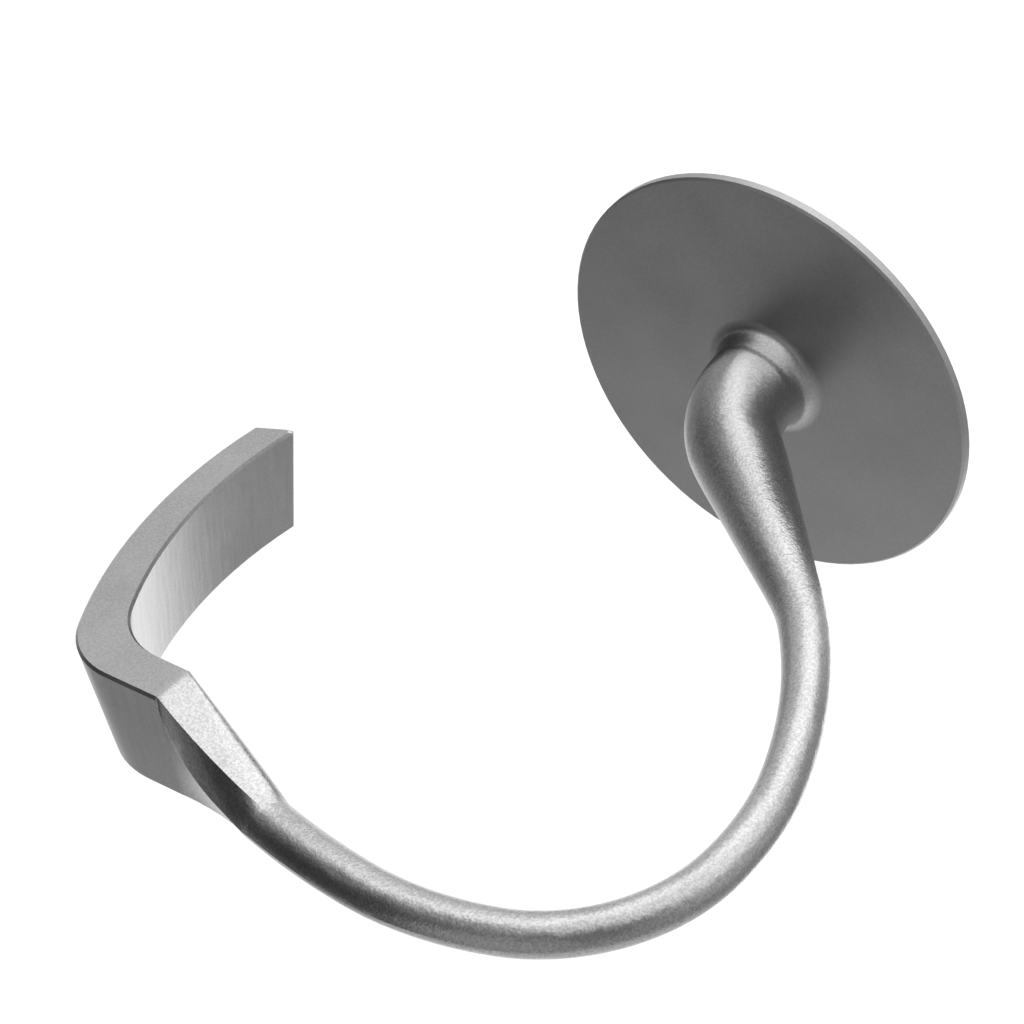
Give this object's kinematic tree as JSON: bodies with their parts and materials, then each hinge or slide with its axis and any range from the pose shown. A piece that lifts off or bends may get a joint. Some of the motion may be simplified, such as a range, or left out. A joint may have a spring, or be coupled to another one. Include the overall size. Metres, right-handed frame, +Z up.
{
  "type": "stand mixer dough hook",
  "caption": "Cast aluminium dough hook: a bayonet drive socket and dough guard disc carry a tapered rod bent into an open C that ends in a drafted kneading blade.",
  "frame": {"origin": "centre of the drive socket's mouth, on the drive axis", "axes": "+Z up along the drive axis, out of the socket's mouth; +X towards the bulge of the C; -Y is the front"},
  "size_m": [0.1316, 0.08, 0.1688],
  "materials": {
    "cast_aluminium": "bead-blasted die casting with a smoother guard disc and polished-looking drafted walls"
  },
  "bodies": {
    "root": {"dough_hook": "cast_aluminium"}
  },
  "joints": []
}
